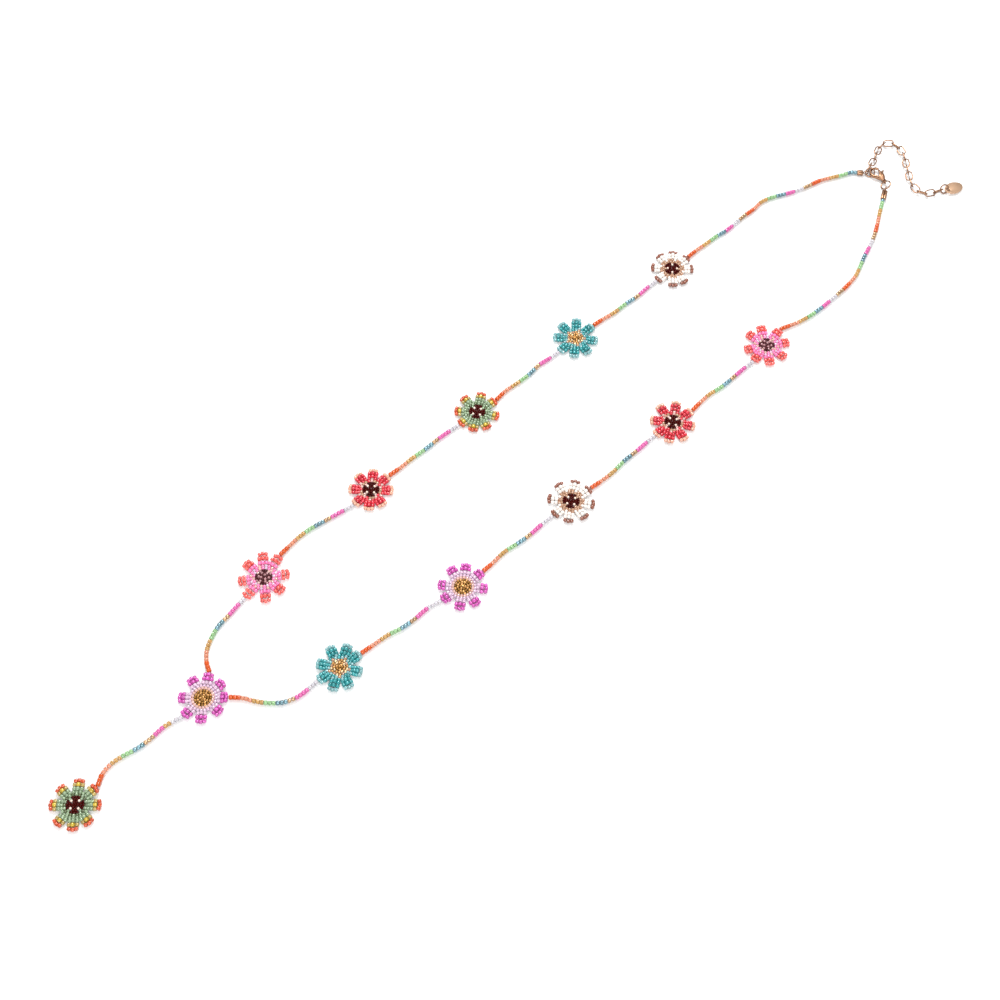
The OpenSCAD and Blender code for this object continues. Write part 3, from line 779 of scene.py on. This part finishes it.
def jump_ring(name):
    """An open jump ring where the CAD ring is, with its ends nearly closed."""
    sizes, _ = settings()
    radius, way, tilt, cut_at = RINGS[name]
    low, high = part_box(name)
    place = turned((low + high) / 2, way) @ turned((0, 0, 0), tilt, "X") @ turned((0, 0, 0), cut_at)
    mesh = bmesh.new()
    ring(mesh, place, radius * MM, sizes.ring_wire, sizes.ring_wire, RING_CUT)
    finish_piece(mesh, f"{name}_wire", [metal()], name)


def plate(mesh, outline, low, high, bevel, place):
    """A plate with bevelled edges, from low to high in the place's Z, with all lengths in millimetres."""
    points = [mesh.verts.new(place @ Vector((x * MM, y * MM, low * MM))) for x, y in outline]
    edges = [mesh.edges.new(pair) for pair in zip(points, points[1:] + points[:1])]
    base = bmesh.ops.contextual_create(mesh, geom=edges)["faces"]
    lift_plate(mesh, base, place.to_3x3() @ UP * (high - low) * MM, bevel * MM)


def lift_plate(mesh, base, lift, bevel):
    """Thickens flat faces by a lift and bevels the rims that this makes."""
    lifted = bmesh.ops.extrude_face_region(mesh, geom=base)["geom"]
    top = [part for part in lifted if isinstance(part, bmesh.types.BMFace)]
    raised = [part for part in lifted if isinstance(part, bmesh.types.BMVert)]
    bmesh.ops.translate(mesh, vec=lift, verts=raised)
    flat = top + [face for face in base if face.is_valid]
    rims = [edge for edge in dict.fromkeys(edge for face in flat for edge in face.edges)
            if len(edge.link_faces) == 2 and sum(face in flat for face in edge.link_faces) == 1]
    bmesh.ops.bevel(mesh, geom=rims, offset=bevel, offset_type="OFFSET", segments=3, profile=0.5,
                    affect="EDGES", clamp_overlap=True, material=-1)


def cord_end(name):
    """A folded cord end: two flaps rolled down on a plate, a neck and an eye."""
    eye_at, way, barrel, eye_z = CORD_ENDS[name]
    place = turned(on_table(*eye_at), way)
    mesh = bmesh.new()
    section = [(y, z) for y, z in FOLD] + [(-y, z) for y, z in reversed(FOLD) if y > 0]
    # The section stands across the string, so the plate's Z is turned to run along it
    along = place @ turned((0, 0, 0), 90) @ turned((0, 0, 0), 90, "X")
    plate(mesh, section, BARREL_FROM, BARREL_FROM + barrel, FOLD_BEVEL, along)
    out = Vector((1, 0, 0))
    neck = [place @ across(Vector((x, 0, BARREL_Z)) * MM, out, r * MM) for x, r in NECK]
    sweep(mesh, neck, sides=12)
    eye(mesh, place @ Matrix.Translation((0, 0, eye_z * MM)))
    finish_piece(mesh, f"{name}_fold", [metal()], name)


def eye(mesh, place):
    """An upright eye with its hole along the place's Y."""
    ring(mesh, place @ turned((0, 0, 0), 90, "X"), (EYE_R + EYE_WALL / 2) * MM, EYE_WALL * MM, EYE_T * MM)


def clasp_frame():
    """The clasp's own frame, from its tail eye."""
    return turned(on_table(*CLASP_AT) + UP * CLASP_Z * MM, CLASP_WAY)


def clasp_claw():
    """The clasp's body: a smooth claw from its tail eye to the round hook, and two riveted cheeks."""
    mesh, place = bmesh.new(), clasp_frame()
    rows = [(Vector((x, y, 0)), wide, thick) for x, y, wide, thick in CLAW]
    middle = Vector((*HOOK_AT, 0))
    for k in range(HOOK_STEPS + 1):
        share = k / HOOK_STEPS
        turn = HOOK_FROM + (HOOK_TO - HOOK_FROM) * share
        ease = max(0.0, 1 - 3 * share)
        at = middle + heading(turn) * HOOK_R
        rows.append((at, HOOK_WIRE + HOOK_WIDER * ease, HOOK_WIRE + HOOK_THICKER * ease))
    tip, way = rows[-1][0], heading(HOOK_TO - 90)
    rows += [(tip + way * HOOK_WIRE * step, HOOK_WIRE * size, HOOK_WIRE * size) for step, size in HOOK_TIP]
    rings = []
    for k, (at, wide, thick) in enumerate(rows):
        run = rows[min(k + 1, len(rows) - 1)][0] - rows[max(k - 1, 0)][0]
        rings.append(place @ across(at * MM, run, MM) @ Matrix.Diagonal((wide, thick, 1, 1)))
    sweep(mesh, rings, sides=16)
    for side in (-1, 1):
        plate(mesh, CHEEK, CHEEK_FROM * side, CHEEK_TO * side, CHEEK_BEVEL, place)
        rivet = place @ Matrix.Translation(Vector((*PIVOT, side * (CHEEK_TO - RIVET_SET))) * MM)
        bmesh.ops.create_uvsphere(mesh, u_segments=16, v_segments=8, radius=RIVET_R * MM,
                                  matrix=rivet @ Matrix.Diagonal((1, 1, RIVET_FLAT, 1)))
    eye(mesh, place @ turned((0, 0, 0), TAIL_TURN))
    finish_piece(mesh, "clasp_claw", [metal()], "clasp_body")


def clasp_lever():
    """The clasp's lever, with its thumb tab."""
    mesh = bmesh.new()
    plate(mesh, LEVER, -LEVER_HALF, LEVER_HALF, LEVER_BEVEL, clasp_frame())
    finish_piece(mesh, "clasp_thumb_lever", [metal()], "clasp_lever", body="lever")


def oval_tag():
    """The plain oval tag, hung on its ring."""
    sizes, _ = settings()
    radius, way, tilt, _ = RINGS["tag_ring"]
    low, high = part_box("tag_ring")
    turn, lean = math.radians(TAG_TURN), math.radians(tilt)
    hole = (low + high) / 2 + radius * MM * (heading(way) * math.cos(turn)
                                             + heading(way - 90) * math.sin(turn) * math.cos(lean)
                                             - UP * math.sin(turn) * math.sin(lean))
    place = turned(hole, TAG_HEADING) @ turned((0, 0, 0), TAG_LEAN, "Y")
    base = place @ Matrix.Translation((0, 0, -sizes.tag_thickness / 2))
    middle = base @ Matrix.Translation((sizes.tag_length / 2 - TAG_HOLE_IN * MM, 0, 0))
    rim = middle @ Matrix.Diagonal((sizes.tag_length / 2, sizes.tag_width / 2, 1, 1))
    mesh = bmesh.new()
    bmesh.ops.create_circle(mesh, radius=1.0, segments=56, matrix=rim)
    bmesh.ops.create_circle(mesh, radius=sizes.tag_hole, segments=56, matrix=base)
    flat = bmesh.ops.bridge_loops(mesh, edges=mesh.edges[:])["faces"]
    lift_plate(mesh, flat, place.to_3x3() @ UP * sizes.tag_thickness, TAG_BEVEL * MM)
    finish_piece(mesh, "oval_tag", [metal(satin=True)], "tag")


def pale_floor():
    """A matt, almost white surface under the necklace."""
    grid = bmesh.new()
    bmesh.ops.create_grid(grid, x_segments=1, y_segments=1, size=FLOOR_SIZE / 2)
    mesh = bpy.data.meshes.new("floor")
    grid.to_mesh(mesh)
    grid.free()
    material, tree, shader = new_material("floor")
    grain = noise(tree, scale=40.0, detail=2.0)
    fill(shader, Base_Color=spread_out(tree, grain, 0.90, 0.92), Roughness=0.9, Specular_IOR_Level=0.1)
    mesh.materials.append(material)
    surface = bpy.data.objects.new("floor", mesh)
    surface.location.z = -FLOOR_GAP
    bpy.context.scene.collection.objects.link(surface)


def studio_sky():
    """A bright ceiling that darkens towards the horizon, so that polished metal has something to show.

    The camera itself sees a plain white backdrop.
    """
    world = bpy.data.worlds.new("studio")
    world.use_nodes = True
    tree = world.node_tree
    way = node(tree, "ShaderNodeTexCoord", "Generated")
    up = node(tree, "ShaderNodeSeparateXYZ", "Z", Vector=way)
    ceiling = spread_out(tree, up, 0.02, 1.0, source_high=0.75)
    seen = node(tree, "ShaderNodeLightPath", "Is Camera Ray")
    fill(tree.nodes["Background"], Color=calculate(tree, "MAXIMUM", ceiling, seen), Strength=SKY_STRENGTH)
    bpy.context.scene.world = world


def soft_light(name, at, width, watts):
    """A soft square light aimed at the middle of the necklace."""
    lamp = bpy.data.lights.new(name, "AREA")
    lamp.shape, lamp.size, lamp.energy = "SQUARE", width, watts
    holder = bpy.data.objects.new(name, lamp)
    holder.location = at
    holder.rotation_euler = (-Vector(at)).to_track_quat("-Z", "Y").to_euler()
    bpy.context.scene.collection.objects.link(holder)


def photo_camera():
    """A camera that looks down at the photograph's angle, with no roll."""
    scene = bpy.context.scene
    camera = bpy.data.objects.new("camera", bpy.data.cameras.new("camera"))
    camera.data.sensor_width = SENSOR_MM
    camera.data.lens = FOCAL_PX / FRAME_PX * SENSOR_MM
    camera.data.clip_start = 0.01
    camera.location = on_table(*CAMERA_AT) + UP * CAMERA_HEIGHT * MM
    camera.rotation_euler = (math.radians(TILT), 0, math.radians(AZIMUTH))
    scene.collection.objects.link(camera)
    scene.camera = camera


class SAUTOIR_OT_flowers(bpy.types.Operator):
    """Nets the twelve bead flowers"""

    bl_idname = "sautoir.flowers"
    bl_label = "Bead Flowers"
    bl_options = {"REGISTER", "UNDO"}

    def execute(self, context):
        for n in range(1, len(FLOWERS) + 1):
            bead_flower(n)
        return {"FINISHED"}


class SAUTOIR_OT_strings(bpy.types.Operator):
    """Threads the strings of beads between the flowers and the cord ends"""

    bl_idname = "sautoir.strings"
    bl_label = "Bead Strings"
    bl_options = {"REGISTER", "UNDO"}

    def execute(self, context):
        for name in ROUTES:
            bead_string(name)
        return {"FINISHED"}


class SAUTOIR_OT_chain(bpy.types.Operator):
    """Links up the extender chain"""

    bl_idname = "sautoir.chain"
    bl_label = "Extender Chain"
    bl_options = {"REGISTER", "UNDO"}

    def execute(self, context):
        extender_links()
        return {"FINISHED"}


class SAUTOIR_OT_rings(bpy.types.Operator):
    """Bends the jump rings and hangs the tag"""

    bl_idname = "sautoir.rings"
    bl_label = "Rings and Tag"
    bl_options = {"REGISTER", "UNDO"}

    def execute(self, context):
        for name in RINGS:
            jump_ring(name)
        oval_tag()
        return {"FINISHED"}


class SAUTOIR_OT_clasp(bpy.types.Operator):
    """Folds the cord ends and makes the clasp with its lever"""

    bl_idname = "sautoir.clasp"
    bl_label = "Clasp and Cord Ends"
    bl_options = {"REGISTER", "UNDO"}

    def execute(self, context):
        for name in CORD_ENDS:
            cord_end(name)
        clasp_claw()
        clasp_lever()
        return {"FINISHED"}


class SAUTOIR_OT_stage(bpy.types.Operator):
    """Lays the pale floor and sets up the lights and the camera"""

    bl_idname = "sautoir.stage"
    bl_label = "Stage"
    bl_options = {"REGISTER", "UNDO"}

    def execute(self, context):
        pale_floor()
        studio_sky()
        for name, (at, width, watts) in LIGHTS.items():
            soft_light(name, at, width, watts)
        context.scene.view_settings.view_transform = "Standard"
        photo_camera()
        return {"FINISHED"}


class SAUTOIR_PT_panel(bpy.types.Panel):
    """Sidebar panel of the necklace's operators"""

    bl_label = "Sautoir"
    bl_idname = "SAUTOIR_PT_panel"
    bl_space_type = "VIEW_3D"
    bl_region_type = "UI"
    bl_category = "Sautoir"

    def draw(self, context):
        layout = self.layout
        for group in (context.scene.sautoir_sizes, context.scene.sautoir_colours):
            column = layout.column(align=True)
            for name in group.bl_rna.properties.keys():
                if name not in ("rna_type", "name"):
                    column.prop(group, name)
        for operator in OPERATORS:
            layout.operator(operator.bl_idname)


OPERATORS = (SAUTOIR_OT_flowers, SAUTOIR_OT_strings, SAUTOIR_OT_chain, SAUTOIR_OT_rings, SAUTOIR_OT_clasp,
             SAUTOIR_OT_stage)
CLASSES = (SautoirSizes, SautoirColours, *OPERATORS, SAUTOIR_PT_panel)


def register():
    """Registers the add-on's classes and its settings."""
    for cls in CLASSES:
        bpy.utils.register_class(cls)
    bpy.types.Scene.sautoir_sizes = PointerProperty(type=SautoirSizes)
    bpy.types.Scene.sautoir_colours = PointerProperty(type=SautoirColours)


def unregister():
    """Takes the settings and classes away again."""
    del bpy.types.Scene.sautoir_colours
    del bpy.types.Scene.sautoir_sizes
    for cls in reversed(CLASSES):
        bpy.utils.unregister_class(cls)


def main():
    """Makes the whole scene."""
    register()
    bpy.ops.sautoir.flowers()
    bpy.ops.sautoir.strings()
    bpy.ops.sautoir.chain()
    bpy.ops.sautoir.rings()
    bpy.ops.sautoir.clasp()
    bpy.ops.sautoir.stage()


if __name__ == "__main__":
    main()
